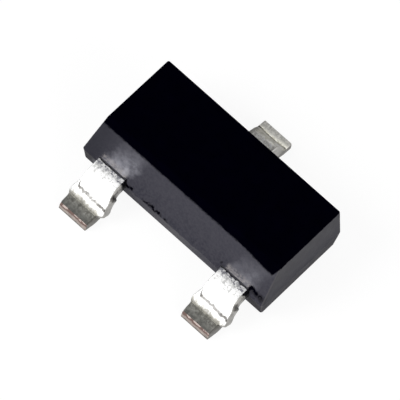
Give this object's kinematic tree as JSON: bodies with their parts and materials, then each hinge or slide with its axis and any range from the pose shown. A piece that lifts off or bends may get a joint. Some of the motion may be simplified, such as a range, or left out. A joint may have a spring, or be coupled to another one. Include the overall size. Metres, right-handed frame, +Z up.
{
  "type": "switching diode",
  "caption": "Surface-mount switching diode in a black moulded package with tin-plated gull-wing leads.",
  "frame": {"origin": "centre of the package's footprint on the solder plane, under the feet", "axes": "+X along the body, from the front left lead to the front right lead; +Y towards the single back lead; +Z up, away from the board"},
  "size_m": [0.0028, 0.0026, 0.001],
  "materials": {
    "epoxy": "fine matt surface of a black epoxy moulding compound, top face bare",
    "tinned_copper": "matte tin plating over a copper alloy strip, copper bare at the sheared tips",
    "silver_adhesive": "cured silver-filled epoxy",
    "silicon": "sawn and passivated silicon",
    "gold": "drawn gold bond wire"
  },
  "bodies": {
    "root": {"moulded_body": "epoxy", "anode_lead": "tinned_copper", "spare_lead": "tinned_copper", "cathode_lead": "tinned_copper", "die_adhesive": "silver_adhesive", "diode_die": "silicon", "bond_wire": "gold"}
  },
  "joints": []
}
